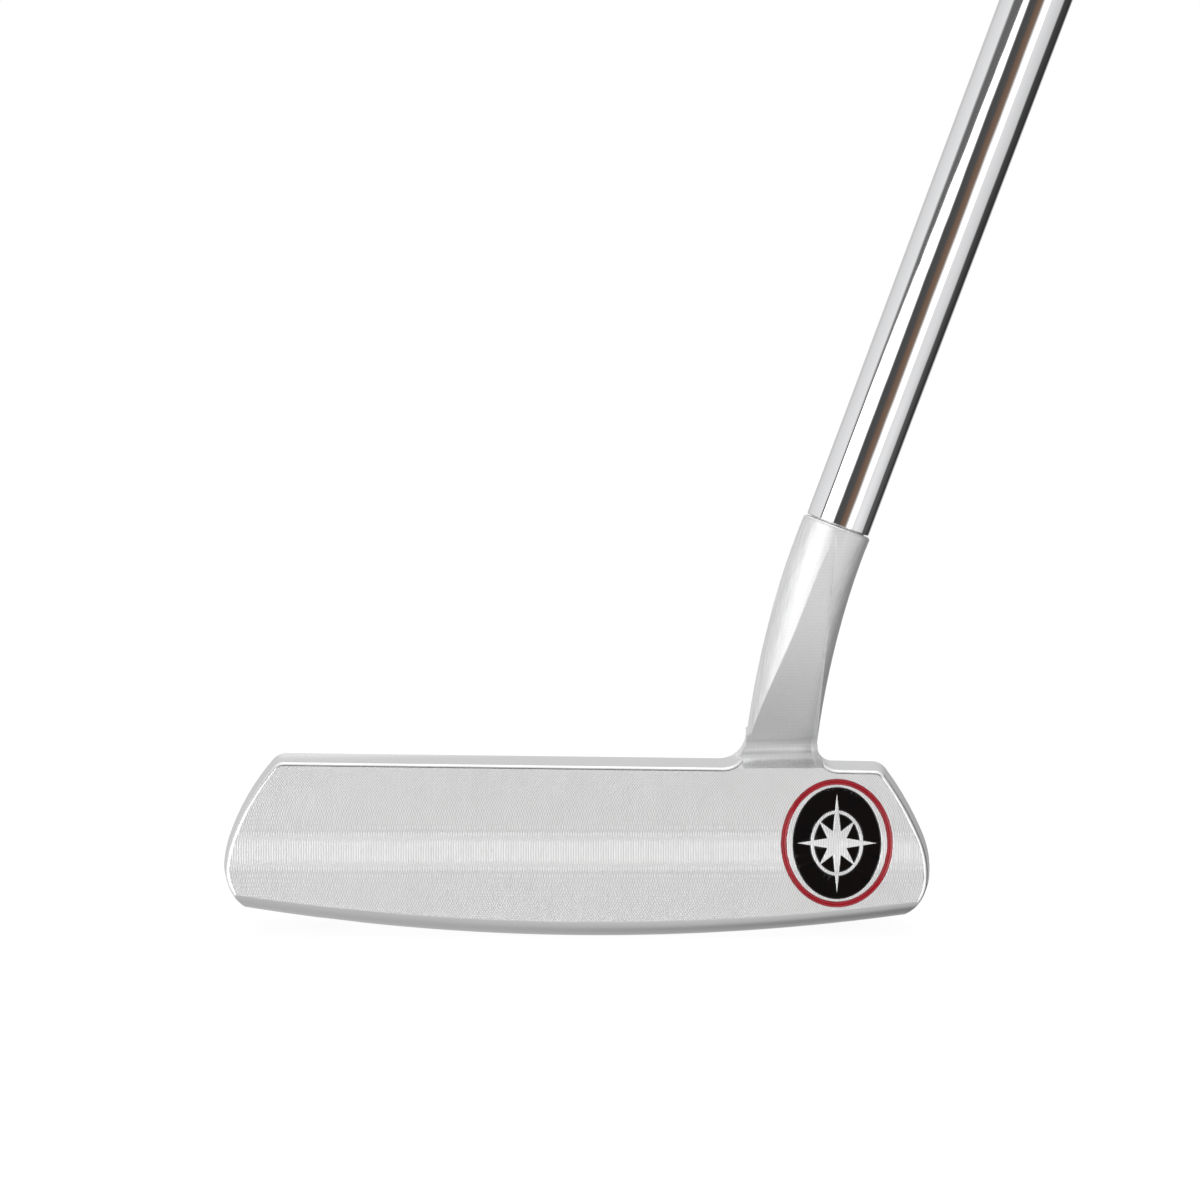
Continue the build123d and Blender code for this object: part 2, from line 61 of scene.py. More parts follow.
# ------------------------------------------------------------------ shader helpers
class Shader:
    """A short way to write node trees: every value is a number, a tuple or another node's output."""

    def __init__(self, tree):
        self.tree = tree
        tree.nodes.clear()

    def node(self, kind, inputs=None, **settings):
        made = self.tree.nodes.new("ShaderNode" + kind)
        for key, value in settings.items():
            setattr(made, key, value)
        for key, value in (inputs or {}).items():
            self.put(made.inputs[key], value)
        return made

    def put(self, socket, value):
        if isinstance(value, bpy.types.NodeSocket):
            self.tree.links.new(value, socket)
        else:
            socket.default_value = value

    def math(self, operation, a, b=0.0):
        return self.node("Math", {0: a, 1: b}, operation=operation).outputs[0]

    def times(self, first, *others):
        """The product of all its values."""
        for other in others:
            first = self.math("MULTIPLY", first, other)
        return first

    def vector(self, operation, a, b=(0, 0, 0)):
        made = self.node("VectorMath", {0: a, 1: b}, operation=operation)
        return made.outputs["Value" if operation in ("DOT_PRODUCT", "LENGTH") else "Vector"]

    def place(self):
        """Where a point lies in the shared frame, in mm."""
        return self.vector("MULTIPLY", self.node("TexCoord").outputs["Object"], (1 / MM,) * 3)

    def xyz(self, vector):
        parts = self.node("SeparateXYZ", {0: vector}).outputs
        return parts[0], parts[1], parts[2]

    def between(self, value, low, high):
        """0 below low, 1 above high, smooth in the middle."""
        limits = {"Value": value, "From Min": low, "From Max": high}
        return self.node("MapRange", limits, interpolation_type="SMOOTHSTEP").outputs[0]

    def mix(self, share, a, b):
        made = self.node("Mix", data_type="RGBA")
        self.put(made.inputs[0], share)
        self.put(made.inputs[6], a)
        self.put(made.inputs[7], b)
        return made.outputs[2]

    def blend(self, share, a, b):
        made = self.node("Mix", data_type="FLOAT")
        self.put(made.inputs[0], share)
        self.put(made.inputs[2], a)
        self.put(made.inputs[3], b)
        return made.outputs[0]

    def ramp(self, value, stops):
        made = self.node("ValToRGB", {0: value})
        made.color_ramp.interpolation = "LINEAR"
        elements = made.color_ramp.elements
        while len(elements) > 1:
            elements.remove(elements[-1])
        elements[0].position = stops[0][0]
        elements[0].color = rgba(stops[0][1])
        for position, colour in stops[1:]:
            elements.new(position).color = rgba(colour)
        return made.outputs[0]

    def noise(self, vector, scale, detail=3.0, roughness=0.5):
        settings = {"Vector": vector, "Scale": scale, "Detail": detail, "Roughness": roughness}
        return self.node("TexNoise", settings).outputs[0]

    def bump(self, height, normal=None):
        """A surface raised by a height in metres."""
        made = self.node("Bump", {"Strength": 1.0, "Distance": 1.0, "Height": height})
        if normal is not None:
            self.put(made.inputs["Normal"], normal)
        return made.outputs[0]

    def finish(self, **inputs):
        """A Principled surface; its inputs are named in lower case with underscores."""
        names = (key.replace("_", " ").title().replace("Ior", "IOR") for key in inputs)
        surface = self.node("BsdfPrincipled", dict(zip(names, inputs.values())))
        self.node("OutputMaterial", {0: surface.outputs[0]})


def rgba(colour):
    if isinstance(colour, (int, float)):
        return (colour, colour, colour, 1)
    return (*colour, 1)


def material(name):
    made = bpy.data.materials.new(name)
    made.use_nodes = True
    return made, Shader(made.node_tree)


def dress(node, made):
    mesh = NODES[node].data
    mesh.materials.clear()
    mesh.materials.append(made)


# ------------------------------------------------------------------ materials
# Lengths are in mm, and the heights of relief in metres.
TURN = 2 * math.pi

MILL_RADIUS = 17.5      # the fly cutter's sweep
MILL_FEED = 0.39        # distance between its marks
MILL_Z = 0.45           # height of its path across the face
MARK_SHIFT = 0.06 * MILL_FEED
MARK_HEIGHT = 8.0e-6

NECK_FOOT_X = 27.7      # the neck's passes start here
NECK_FOOT_Z = 5.0
NECK_BEND = 0.0043      # and drift to the heel by this times the height squared
PASS_HEIGHT = 1.6e-6
STEP_PITCH = 0.5        # the fine lattice on the neck's flat
STEP_HEIGHT = 1.2e-6
STREAK_HEIGHT = 1.0e-5
GRAIN_HEIGHT = 1.5e-6

LEDGE_Z = 13.45         # the flat on the neck starts above this
LEDGE_X = 28.2          # the middle of the neck's root
FACE_ROUND = 0.65       # the rounded rim lies this far behind the face at most
EDGE_ROUND = 0.25       # the polished edges
POLISH = 0.24           # their roughness
FACE_ROUGHNESS = 0.58
NECK_ROUGHNESS = 0.42
BODY_ROUGHNESS = 0.36


def wave(s, value, pitch):
    return s.math("COSINE", s.math("MULTIPLY", value, TURN / pitch))


def face_marks(s, place, drop):
    """Two families of arcs, left by the cutter's leading and trailing edge."""
    x, _, _ = s.xyz(place)
    reach = s.math("SQRT", s.math("SUBTRACT", MILL_RADIUS**2, s.math("MULTIPLY", drop, drop)))
    reach = s.math("SUBTRACT", reach, MILL_RADIUS - MARK_SHIFT)
    first = wave(s, s.math("SUBTRACT", x, reach), MILL_FEED)
    second = wave(s, s.math("ADD", x, reach), MILL_FEED)
    wobble = s.noise(s.vector("MULTIPLY", place, (0.6, 0.6, 0.25)), 1.0, 2.0)
    return s.times(s.math("ADD", first, second), s.blend(wobble, 0.6, 1.4))


def neck_marks(s, place):
    """Passes that follow the neck's bend, the lattice that crosses them, and streaks along them."""
    x, y, z = s.xyz(place)
    lift = s.math("SUBTRACT", z, NECK_FOOT_Z)
    bend = s.times(lift, lift, NECK_BEND)
    across = s.math("SUBTRACT", s.math("SUBTRACT", x, NECK_FOOT_X), bend)
    stretched = s.node("CombineXYZ", {0: across, 1: y, 2: s.math("MULTIPLY", z, 0.06)}).outputs[0]
    return wave(s, across, MILL_FEED), wave(s, z, STEP_PITCH), s.noise(stretched, 2.2, 3.0)


def milled_steel():
    """Cutter marks on the face and up the neck, and polish on the edges."""
    made, s = material("milled_steel")
    place = s.place()
    x, _, z = s.xyz(place)
    normal = s.node("NewGeometry").outputs["Normal"]
    drop = s.math("SUBTRACT", z, MILL_Z)
    marks = face_marks(s, place, drop)
    passes, steps, streaks = neck_marks(s, place)
    grain = s.noise(place, 6.0, 4.0, 0.65)
    smudge = s.noise(place, 0.06, 3.0)

    # where each finish lies: 1 inside, 0 outside
    on_face = s.between(s.vector("DOT_PRODUCT", normal, FACE_NORMAL), 0.9985, 0.9995)
    under_neck = s.between(s.math("ABSOLUTE", s.math("SUBTRACT", x, LEDGE_X)), 7.0, 6.0)
    neck = s.times(under_neck, s.between(z, LEDGE_Z - 0.1, LEDGE_Z + 0.1))
    neck = s.math("MAXIMUM", neck, s.between(z, LEDGE_Z + 1.0, LEDGE_Z + 1.5))
    facing = s.math("MULTIPLY", s.xyz(normal)[1], -1.0)
    on_flat = s.times(neck, s.between(facing, 0.75, 0.85))
    behind_face = s.math("MULTIPLY", s.vector("DOT_PRODUCT", place, FACE_NORMAL), -1.0)
    rim = s.times(
        s.math("SUBTRACT", 1.0, on_face),
        s.between(behind_face, FACE_ROUND + 0.10, FACE_ROUND - 0.05),
        s.between(behind_face, -0.12, -0.04),
        s.between(s.xyz(normal)[2], -0.35, -0.1),
        s.math("SUBTRACT", 1.0, neck),
    )
    # an edge is where the rounded normal leaves the true one
    soft_edge = s.node("Bevel", {"Radius": EDGE_ROUND * MM}, samples=6).outputs[0]
    edge = s.times(
        s.between(s.vector("DOT_PRODUCT", soft_edge, normal), 0.995, 0.93),
        s.between(z, LEDGE_Z - 1.0, LEDGE_Z - 1.4),
    )

    height = s.times(marks, on_face, MARK_HEIGHT)
    for relief in (
        s.times(passes, neck, PASS_HEIGHT),
        s.times(steps, on_flat, STEP_HEIGHT),
        s.times(streaks, neck, STREAK_HEIGHT),
        s.times(grain, GRAIN_HEIGHT),
    ):
        height = s.math("ADD", height, relief)

    # the metal's brightness, then how much each finish lightens or darkens it, and the painted light and
    # shade laid on the face and neck
    # painted highlight: a band across the middle of the face, where the cutter's arcs stand upright, is
    # made lighter
    centre = s.times(s.between(s.math("ABSOLUTE", drop), 3.2, 1.8), on_face)
    tone = s.math("ADD", s.blend(smudge, 0.765, 0.815), s.math("MULTIPLY", grain, 0.03))
    tone = s.times(tone, s.math("ADD", s.blend(on_face, 1.0, 1.06), s.math("MULTIPLY", centre, 0.14)))
    # painted shade: the neck's flat is darker low down, near the ledge, and lighter towards its top
    painted_flat_shade = s.blend(on_flat, 1.0, s.blend(s.between(z, 16.0, 40.0), 0.83, 0.97))
    # painted light: off the face, the metal below the top of the ledge's fillet is a tenth lighter than
    # the neck above it
    painted_ledge_light = s.blend(s.between(z, LEDGE_Z + 2.9, LEDGE_Z + 2.5), 1.0, 1.10)
    lines = s.math("ADD", s.times(passes, 0.025), s.times(steps, on_flat, 0.015))
    streaked = s.times(s.math("SUBTRACT", streaks, 0.5), s.blend(on_flat, 0.45, 0.08))
    lines = s.math("ADD", lines, streaked)
    shade = s.times(painted_flat_shade, painted_ledge_light, s.math("ADD", 1.0, s.times(lines, neck)))
    peaks = s.between(marks, -1.6, 1.6)
    shade = s.blend(on_face, shade, s.blend(peaks, 0.86, 1.12))
    tone = s.math("MINIMUM", s.times(tone, shade), 1.0)
    tint = s.node("CombineColor", {0: s.times(tone, 0.992), 1: s.times(tone, 0.994), 2: tone})

    rough = s.blend(on_face, s.blend(neck, BODY_ROUGHNESS, NECK_ROUGHNESS), FACE_ROUGHNESS)
    s.finish(
        base_color=tint.outputs[0],
        metallic=1.0,
        roughness=s.blend(s.math("MAXIMUM", rim, edge), rough, POLISH),
        # the passes up the neck spread a reflection sideways
        anisotropic=s.times(neck, 0.8),
        tangent=s.vector("CROSS_PRODUCT", normal, (0.2, -0.2, 1.0)),
        normal=s.bump(height, soft_edge),
    )
    return made


def enamel(name, deep, light):
    """Baked paint, a little rippled where it set."""
    made, s = material(name)
    place = s.place()
    ripple = s.noise(place, 0.5, 2.0)
    speck = s.noise(place, 9.0, 4.0, 0.7)
    height = s.math("ADD", s.math("MULTIPLY", ripple, 2.0e-5), s.math("MULTIPLY", speck, 6.0e-7))
    relief = s.bump(height)
    s.finish(
        base_color=s.mix(ripple, rgba(deep), rgba(light)),
        roughness=s.blend(speck, 0.05, 0.10),
        specular_ior_level=0.3,
        coat_weight=0.5,
        coat_roughness=0.03,
        normal=relief,
        coat_normal=relief,
    )
    return made


def chrome():
    """Bright plate with a slow swell under it."""
    made, s = material("shaft_chrome")
    place = s.place()
    swell = s.noise(s.vector("MULTIPLY", place, (0.12, 0.12, 0.05)), 1.0, 2.0)
    polish = s.noise(place, 2.5, 5.0, 0.7)
    height = s.math("ADD", s.math("MULTIPLY", swell, 6.0e-5), s.math("MULTIPLY", polish, 3.0e-7))
    s.finish(
        base_color=s.mix(polish, rgba((0.86, 0.865, 0.88)), rgba((0.92, 0.92, 0.93))),
        metallic=1.0,
        roughness=s.blend(polish, 0.03, 0.07),
        normal=s.bump(height),
    )
    return made


TOE_WEIGHT = (-45, 15.5, -10)
HEEL_WEIGHT = (38, 15.5, -10)
LATHE_FEED = 0.3


def turned_steel():
    """Lathe marks in rings round the middle of each weight."""
    made, s = material("weight_steel")
    place = s.place()
    toe = s.vector("LENGTH", s.vector("SUBTRACT", place, TOE_WEIGHT))
    heel = s.vector("LENGTH", s.vector("SUBTRACT", place, HEEL_WEIGHT))
    rings = s.math("SINE", s.math("MULTIPLY", s.math("MINIMUM", toe, heel), TURN / LATHE_FEED))
    round_edge = s.node("Bevel", {"Radius": 0.2 * MM}).outputs[0]
    grain = s.noise(place, 5.0, 4.0)
    s.finish(
        base_color=s.mix(grain, rgba((0.52, 0.52, 0.53)), rgba((0.66, 0.66, 0.67))),
        metallic=1.0,
        roughness=s.blend(grain, 0.22, 0.34),
        normal=s.bump(s.math("MULTIPLY", rings, 1.5e-6), round_edge),
    )
    return made


def rubber(name, dark, light, rough):
    """Moulded rubber with a fine grain."""
    made, s = material(name)
    place = s.place()
    grain = s.noise(place, 3.0, 6.0, 0.7)
    dust = s.noise(place, 0.05, 3.0)
    s.finish(
        base_color=s.mix(dust, rgba(dark), rgba(light)),
        roughness=s.blend(grain, rough, rough + 0.15),
        normal=s.bump(s.math("MULTIPLY", grain, 6.0e-5)),
    )
    return made


def plain(name, dark, light, rough, lumps):
    """Epoxy and paper: a mottled colour with a little relief."""
    made, s = material(name)
    place = s.place()
    grain = s.noise(place, 1.6, 5.0, 0.6)
    s.finish(
        base_color=s.mix(grain, rgba(dark), rgba(light)),
        roughness=rough,
        normal=s.bump(s.math("MULTIPLY", grain, lumps)),
    )
    return made


dress("head_body", milled_steel())
red = enamel("red_enamel", (0.27, 0.0015, 0.008), (0.48, 0.004, 0.020))
black = enamel("black_enamel", (0.0008, 0.0012, 0.0022), (0.002, 0.003, 0.005))
dress("emblem_enamel", black)
dress("sight_line_paint", black)
dress("sole_weights", turned_steel())
dress("weight_seals", rubber("seal_rubber", (0.01, 0.01, 0.01), (0.02, 0.02, 0.02), 0.6))
dress("hosel_epoxy", plain("epoxy", (0.42, 0.36, 0.22), (0.62, 0.56, 0.40), 0.35, 2e-5))
dress("grip_tape", plain("tape_paper", (0.62, 0.56, 0.42), (0.80, 0.75, 0.62), 0.8, 4e-5))


# ------------------------------------------------------------------ mesh helpers
WELD = 1e-7             # metres
SHARP = math.radians(35)


def fit(name, mesh, made, node):
    """Put a mesh in the scene in place of a CAD node's."""
    mesh.materials.clear()
    mesh.materials.append(made)
    piece = bpy.data.objects.new(name, mesh)
    bpy.context.scene.collection.objects.link(piece)
    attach(piece, "root")
    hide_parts(node)


def smooth_mesh(name, verts, faces):
    mesh = bpy.data.meshes.new(name)
    build = bmesh.new()
    points = [build.verts.new(point) for point in verts]
    for face in faces:
        build.faces.new([points[index] for index in face])
    bmesh.ops.remove_doubles(build, verts=build.verts, dist=WELD)
    bmesh.ops.recalc_face_normals(build, faces=build.faces)
    build.to_mesh(mesh)
    build.free()
    mesh.shade_smooth()
    mesh.set_sharp_from_angle(angle=SHARP)
    return mesh


def along_and_out(vertex):
    """Where a point is along the shaft, and how far out from its axis."""
    offset = Vector(vertex) - AXIS_POINT
    along = offset.dot(AXIS)
    return along, (offset - AXIS * along).length


def skin(rings, closed_ends=False):
    """Quads between rings of equal length; the faces look outward for rings that run up the axis."""
    count = len(rings[0])
    faces = []
    for row in range(len(rings) - 1):
        for column in range(count):
            step = (column + 1) % count
            low = row * count
            faces.append((low + column, low + step, low + count + step, low + count + column))
    verts = [point for ring in rings for point in ring]
    if closed_ends:
        faces.append(tuple(reversed(range(count))))
        last = (len(rings) - 1) * count
        faces.append(tuple(last + column for column in range(count)))
    return verts, faces


# ------------------------------------------------------------------ red ring
RING_WIDTH = 0.85       # mm, across the groove
RING_THICK = 0.32
RING_CLIMB = 0.10       # how far the paint climbs the metal, and dips in the middle
RING_SEGMENTS = 240
RING_STEPS = 10


def build_ring():
    """The ring's paint fill, hollow across its width as paint is when it dries in a groove."""
    low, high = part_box("ring_enamel")
    up = Vector((0, FACE_NORMAL.z, -FACE_NORMAL.y))
    wide = (high.x - low.x) / 2
    tall = (high.z - low.z - RING_THICK * MM * FACE_NORMAL.z) / (2 * up.z)
    middle = (low + high) / 2
    profile = [(1.0, -0.5), (0.0, -0.5)]
    # across the ring, as shares of its width and thickness: the back, then the hollow front
    for step in range(RING_STEPS + 1):
        share = step / RING_STEPS
        climb = RING_CLIMB / RING_THICK * ((2 * share - 1) ** 2 * 2 - 1)
        profile.append((share, 0.5 + climb))
    profile.append(profile[0])
    rings = []
    for share, height in profile:
        inset = RING_WIDTH * MM * (1 - share)
        centre = middle + FACE_NORMAL * (height * RING_THICK * MM)
        ring = []
        for index in range(RING_SEGMENTS):
            turn = TURN * index / RING_SEGMENTS
            sideways = Vector((math.cos(turn) * (wide - inset), 0, 0))
            ring.append(centre + sideways + up * (math.sin(turn) * (tall - inset)))
        rings.append(ring)
    fit("ring_fill", smooth_mesh("ring_fill", *skin(rings)), red, "ring_enamel")


build_ring()

# ------------------------------------------------------------------ black pools
POOL_LIFT = 0.06        # mm the paint climbs the metal
POOL_BORDER = 0.17      # over this width
POOL_DIP = 0.065        # and sinks again this far


def build_pools(node, name):
    """A paint fill whose surface climbs at its border, where it wets the metal."""
    build = bmesh.new()
    build.from_mesh(NODES[node].data)
    bmesh.ops.remove_doubles(build, verts=build.verts, dist=WELD)
    facing = Vector((0, 0, 1)) if node == "sight_line_paint" else FACE_NORMAL
    top = [face for face in build.faces if face.normal.dot(facing) > 0.99]
    corners = {corner for face in top for corner in face.verts}
    bmesh.ops.translate(build, verts=list(corners), vec=facing * POOL_LIFT * MM)
    bmesh.ops.inset_region(
        build,
        faces=top,
        thickness=POOL_BORDER * MM,
        depth=-POOL_DIP * MM,
        use_even_offset=False,
        use_boundary=True,
    )
    mesh = bpy.data.meshes.new(name)
    build.to_mesh(mesh)
    build.free()
    for polygon in mesh.polygons:
        polygon.material_index = 0
    fit(name, mesh, black, node)


build_pools("emblem_enamel", "emblem_fill")
build_pools("sight_line_paint", "sight_line_fill")


# ------------------------------------------------------------------ shaft
SHAFT_WALL = 0.6 * MM
SHAFT_PIECE = 8.0 * MM      # length of one ring of faces
SHAFT_AROUND = 160
BORE_PARALLEL = 30.0 * MM   # the bore is parallel this far up from its end, and then widens


def outer_profile(mesh):
    """The CAD shaft's outer radius at each distance along it, from the faces that look outward."""
    outer = {}
    for polygon in mesh.polygons:
        along, out = along_and_out(polygon.center)
        if (polygon.center - AXIS_POINT - AXIS * along).dot(polygon.normal) < 0.5 * out:
            continue
        for index in polygon.vertices:
            a, r = along_and_out(mesh.vertices[index].co)
            outer[round(a, 5)] = max(outer.get(round(a, 5), 0), r)
    return sorted(outer.items())


def build_shaft():
    """A round tube on the CAD shaft's own profile."""
    mesh = NODES["shaft"].data
    points = [along_and_out(v.co) for v in mesh.vertices]
    start = min(a for a, _ in points)
    stop = max(a for a, _ in points)
    bore_tip = min(r for a, r in points if a < start + 0.1 * MM)
    stations = outer_profile(mesh)
    profile = [(start, bore_tip)]
    for (low, low_r), (high, high_r) in zip(stations, stations[1:]):
        pieces = max(1, int((high - low) / SHAFT_PIECE))
        for step in range(pieces):
            share = step / pieces
            profile.append((low + (high - low) * share, low_r + (high_r - low_r) * share))
    butt_r = stations[-1][1]
    profile += [(stop, butt_r), (stop, butt_r - SHAFT_WALL), (start + BORE_PARALLEL, bore_tip)]
    rings = []
    for a, r in profile:
        centre = AXIS_POINT + AXIS * a
        ring = []
        for index in range(SHAFT_AROUND):
            turn = TURN * index / SHAFT_AROUND
            ring.append(centre + (SIDE * math.cos(turn) + FRONT * math.sin(turn)) * r)
        rings.append(ring)
    rings.append(rings[0])
    fit("shaft_tube", smooth_mesh("shaft_tube", *skin(rings)), chrome(), "shaft")


build_shaft()

# ------------------------------------------------------------------ grip
# Stations down the grip: distance from the butt, half width, flat's height, belly's depth, in mm.
GRIP_STATIONS = (
    (0.0, 12.2, 10.6, 18.6),
    (12.0, 12.6, 10.8, 19.0),
    (55.0, 12.7, 10.9, 18.0),
    (110.0, 12.2, 10.6, 14.6),
    (180.0, 11.1, 10.0, 12.2),
    (240.0, 9.9, 9.6, 10.2),
    (263.0, 9.2, 9.2, 9.2),
)
GRIP_ROWS = 400
GRIP_BORE = 7.5 * MM        # radius at the mouth
LIP_LENGTH = 2.0            # the mouth is drawn in over this length
LIP_DRAW = 0.08             # by this share
FLAT_SHARE = 0.55           # the flat's half width, as a share of the grip's
PATTERN_START = 10          # from the butt
PATTERN_END = 250
RIB_PITCH = 3.5
RIB_DEPTH = 0.28
RIB_REACH = 5.5             # each side of the middle
RIB_BLOCK = 14              # two blocks of ribs, then one left plain
LATTICE_PITCH = 6.4
LATTICE_DEPTH = 0.3
LATTICE_TWIST = 13.0        # how far a line climbs in one radian round the grip
GROOVE_WIDTH = 0.9


def station(from_butt):
    """Smoothly interpolated half width, flat and belly at a distance from the butt, in mm."""
    table = GRIP_STATIONS
    index = 0
    while index < len(table) - 2 and from_butt > table[index + 1][0]:
        index += 1
    low, high = table[index], table[index + 1]
    before, after = table[max(index - 1, 0)], table[min(index + 2, len(table) - 1)]
    span = high[0] - low[0]
    t = min(max((from_butt - low[0]) / span, 0), 1)
    values = []
    for k in (1, 2, 3):
        rise_low = (high[k] - before[k]) / (high[0] - before[0]) * span
        rise_high = (after[k] - low[k]) / (after[0] - low[0]) * span
        values.append(
            (2 * t**3 - 3 * t**2 + 1) * low[k] + (t**3 - 2 * t**2 + t) * rise_low
            + (3 * t**2 - 2 * t**3) * high[k] + (t**3 - t**2) * rise_high
        )
    return values


def arc(start, middle, stop, count):
    """Points on the circle through three points, leaving out the last."""
    (ax, ay), (bx, by), (cx, cy) = start, middle, stop
    d = 2 * (ax * (by - cy) + bx * (cy - ay) + cx * (ay - by))
    a2, b2, c2 = ax * ax + ay * ay, bx * bx + by * by, cx * cx + cy * cy
    ux = (a2 * (by - cy) + b2 * (cy - ay) + c2 * (ay - by)) / d
    uy = (a2 * (cx - bx) + b2 * (ax - cx) + c2 * (bx - ax)) / d
    begin = math.atan2(ay - uy, ax - ux)
    sweep = (math.atan2(cy - uy, cx - ux) - begin) % TURN - TURN
    radius = math.hypot(ax - ux, ay - uy)
    turns = [begin + sweep * k / count for k in range(count)]
    return [(ux + radius * math.cos(turn), uy + radius * math.sin(turn)) for turn in turns]


def grip_slice(half, flat, belly):
    """Right half from the middle of the flat to the middle of the belly, then mirrored."""
    shoulder, side = (half * FLAT_SHARE, flat), (half, 0)
    right = [(half * FLAT_SHARE * k / 14, flat) for k in range(14)]
    right += arc(shoulder, (half * 0.88, flat * 0.66), side, 22)
    right += arc(side, (half * 0.72, -belly * 0.72), (0, -belly), 50)
    right.append((0, -belly))
    return right + [(-px, py) for px, py in reversed(right[1:-1])]


def groove(position, width):
    """1 in the middle of a groove, 0 outside it."""
    return max(0.0, 1 - abs(position) / width) ** 0.5 if abs(position) < width else 0.0


def grip_relief(point, from_butt, flat):
    """How far the rubber is pressed in, in mm: ribs across the flat, a lattice round the belly."""
    px, py = point
    edge = min(max((from_butt - PATTERN_START) / 6, 0), 1) * min(max((PATTERN_END - from_butt) / 8, 0), 1)
    if edge <= 0:
        return 0.0
    if py > flat * 0.93:
        plain_block = (from_butt // RIB_BLOCK) % 3 == 2
        if abs(px) > RIB_REACH or plain_block:
            return 0.0
        return RIB_DEPTH * edge * groove((from_butt % RIB_PITCH) - RIB_PITCH / 2, GROOVE_WIDTH)
    climb = math.atan2(px, -py) * LATTICE_TWIST
    first = (from_butt + climb) % LATTICE_PITCH - LATTICE_PITCH / 2
    second = (from_butt - climb) % LATTICE_PITCH - LATTICE_PITCH / 2
    return LATTICE_DEPTH * edge * max(groove(first, GROOVE_WIDTH), groove(second, GROOVE_WIDTH))


def build_grip():
    """A pistol grip, flat in front, with its pattern pressed in."""
    points = [along_and_out(v.co)[0] for v in NODES["grip"].data.vertices]
    mouth, butt = min(points), max(points)
    length = (butt - mouth) / MM
    rings = []
    for row in range(GRIP_ROWS + 1):
        from_butt = length * (1 - row / GRIP_ROWS)
        half, flat, belly = station(from_butt)
        lip = max(0.0, 1 - (length - from_butt) / LIP_LENGTH)
        draw = 1 - LIP_DRAW * lip * lip
        centre = AXIS_POINT + AXIS * (butt - from_butt * MM)
        ring = []
        for px, py in grip_slice(half, flat, belly):
            size = math.hypot(px, py)
            scale = draw * (1 - grip_relief((px, py), from_butt, flat) / size) * MM
            ring.append(centre - SIDE * px * scale + FRONT * py * scale)
        rings.append(ring)
    # the mouth turns in to meet the shaft
    tip = AXIS_POINT + AXIS * mouth
    inner = [tip + (p - tip).normalized() * GRIP_BORE for p in rings[0]]
    mesh = smooth_mesh("grip_rubber", *skin([inner] + rings, closed_ends=True))
    look = rubber("grip_rubber", (0.012, 0.012, 0.013), (0.03, 0.03, 0.033), 0.55)
    fit("grip_rubber", mesh, look, "grip")


build_grip()


CAP_THICK = 4.0
# Up the cap, as shares of its height and outline: a shallow groove, the rounded rim, the dished
# top and the vent hole.
CAP_SIDE = ((0.0, 1.0), (0.25, 1.0), (0.3, 0.985), (0.42, 0.985), (0.47, 1.0), (0.62, 1.0))
CAP_RIM = [(0.62 + 0.30 * math.sin(t), 1 - 0.14 * (1 - math.cos(t))) for t in (0.3, 0.6, 0.9, 1.2, 1.5)]
CAP_DISH = [(0.93 + 0.07 * (1 - k / 6), k / 8 + 0.1) for k in range(6, 0, -1)]
CAP_VENT = ((0.99, 0.07), (0.6, 0.065), (0.2, 0.06))


def build_cap():
    """The moulded cap that closes the grip at the butt."""
    points = [along_and_out(v.co)[0] for v in NODES["grip_end_cap"].data.vertices]
    top = max(points)
    seat = top - CAP_THICK * MM
    half, flat, belly = GRIP_STATIONS[0][1:]
    outline = grip_slice(half, flat, belly)
    rings = []
    for height, scale in (*CAP_SIDE, *CAP_RIM, *CAP_DISH, *CAP_VENT):
        centre = AXIS_POINT + AXIS * (seat + min(height, 1.0) * (top - seat))
        rings.append([centre + (-SIDE * px + FRONT * py) * scale * MM for px, py in outline])
    mesh = smooth_mesh("grip_cap", *skin(rings, closed_ends=True))
    look = rubber("cap_rubber", (0.016, 0.016, 0.017), (0.035, 0.035, 0.038), 0.42)
    fit("grip_cap", mesh, look, "grip_end_cap")


build_cap()

# ------------------------------------------------------------------ floor, light, camera
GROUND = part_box("head_body")[0].z
FLOOR_REACH = 8.0


def build_floor():
    """White paper that mostly glows, so its shadow is faint, and that the metal doesn't reflect."""
    mesh = bpy.data.meshes.new("floor")
    corners = [(x * FLOOR_REACH, y * FLOOR_REACH, GROUND) for x, y in ((-1, -1), (1, -1), (1, 1), (-1, 1))]
    mesh.from_pydata(corners, [], [(0, 1, 2, 3)])
    floor = bpy.data.objects.new("floor", mesh)
    bpy.context.scene.collection.objects.link(floor)
    made, s = material("floor_paper")
    lit = s.node("BsdfDiffuse", {"Color": rgba(0.12)})
    glow = s.node("Emission", {"Color": rgba(1.0), "Strength": 0.93})
    both = s.node("AddShader", {0: glow.outputs[0], 1: lit.outputs[0]})
    s.node("OutputMaterial", {0: both.outputs[0]})
    mesh.materials.append(made)
    floor.visible_glossy = False
    floor.visible_diffuse = False


LEFT_BOX = 2.4          # brightness of the studio's soft boxes, ceiling and floor
RIGHT_BOX = 2.0
CEILING = 1.5
FLOOR = 0.52


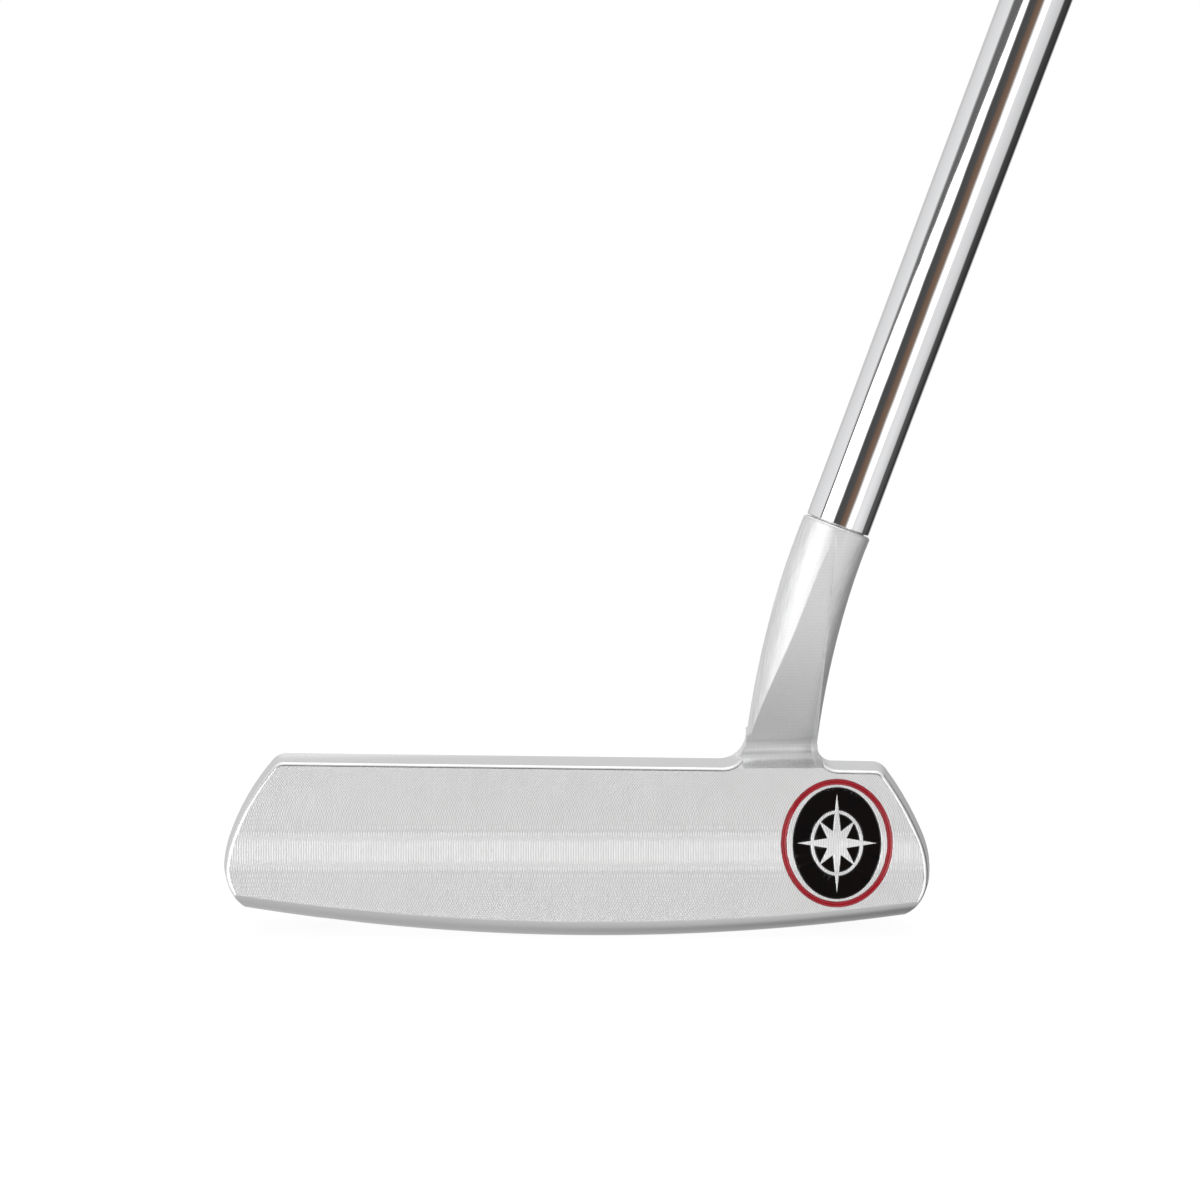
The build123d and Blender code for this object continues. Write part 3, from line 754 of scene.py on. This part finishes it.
def build_world():
    """White to the camera; to the metal, a studio of soft boxes with dark gaps between them."""
    world = bpy.data.worlds.new("studio")
    bpy.context.scene.world = world
    world.use_nodes = True
    s = Shader(world.node_tree)
    x, y, z = s.xyz(s.node("TexCoord").outputs["Generated"])
    turn = s.math("ARCTAN2", x, s.math("MULTIPLY", y, -1.0))
    turn = s.math("ADD", s.math("DIVIDE", turn, TURN), 0.5)
    rise = s.math("ARCSINE", z)

    def round_the_room(*lights):
        """Brightness by direction, in degrees from straight ahead, negative to the left."""
        return s.ramp(turn, [(degrees / 360 + 0.5, light) for degrees, light in lights])

    walls = round_the_room(
        (-180, 0.60), (-150, 0.62), (-140, 0.72), (-80, 0.84), (-74, 0.80),
        (-73, 0.08), (-68, 0.08), (-67, LEFT_BOX), (-25, LEFT_BOX),
        (-20, 0.30), (-17, 0.07), (0, 0.08), (5, (0.16, 0.10, 0.07)),
        (20, (0.22, 0.15, 0.11)), (25, 0.75), (31, RIGHT_BOX), (43, RIGHT_BOX),
        (46, 0.82), (92, 0.62), (99, 0.06), (145, 0.03), (155, 0.60), (180, 0.60),
    )
    gap = round_the_room(
        (-180, 0.60), (-140, 0.72), (-80, 0.84), (-74, 0.3), (-70, 0.14), (20, 0.14),
        (40, 0.8), (92, 0.62), (99, 0.2), (145, 0.2), (155, 0.6), (180, 0.60),
    )
    above = round_the_room((-180, 0.75), (-90, 1.0), (-60, 0.9), (30, 0.85), (90, 0.9), (180, 0.75))
    below = round_the_room(
        (-180, 0.45), (-60, FLOOR), (60, FLOOR), (95, 0.38), (100, 0.10), (150, 0.10), (180, 0.45)
    )
    near = round_the_room(
        (-180, 0.55), (-60, 0.95), (60, 0.95), (95, 0.6), (100, 0.1), (150, 0.1), (180, 0.55)
    )

    def band(value, low, high):
        return s.between(value, math.radians(low), math.radians(high))

    colour = s.mix(band(rise, -22, -14), near, walls)
    colour = s.mix(band(rise, -62, -32), below, colour)
    colour = s.mix(band(rise, 19.5, 20.8), colour, gap)
    colour = s.mix(band(rise, 29, 35), colour, above)
    colour = s.mix(band(rise, 58, 74), colour, rgba(CEILING))
    seen = s.node("LightPath").outputs["Is Camera Ray"]
    colour = s.mix(seen, colour, rgba(1.0))
    s.node("OutputWorld", {0: s.node("Background", {"Color": colour, "Strength": 1.0}).outputs[0]})


SENSOR = 36.0
CAMERA_DISTANCE = 0.600
CAMERA_PITCH = math.radians(3.5)    # it looks down by this
AIM_HEIGHT = 0.0398
FRAME_WIDTH = 186.625 * MM          # of the picture, at the strike face


def build_camera():
    data = bpy.data.cameras.new("camera")
    data.sensor_width = SENSOR
    data.lens = SENSOR * CAMERA_DISTANCE / FRAME_WIDTH
    data.clip_start = 0.01
    camera = bpy.data.objects.new("camera", data)
    bpy.context.scene.collection.objects.link(camera)
    back = CAMERA_DISTANCE * math.cos(CAMERA_PITCH)
    camera.location = (0, -back, AIM_HEIGHT + CAMERA_DISTANCE * math.sin(CAMERA_PITCH))
    camera.rotation_euler = (math.radians(90) - CAMERA_PITCH, 0, 0)
    bpy.context.scene.camera = camera


build_floor()
build_world()
build_camera()
bpy.context.scene.view_settings.view_transform = "Standard"
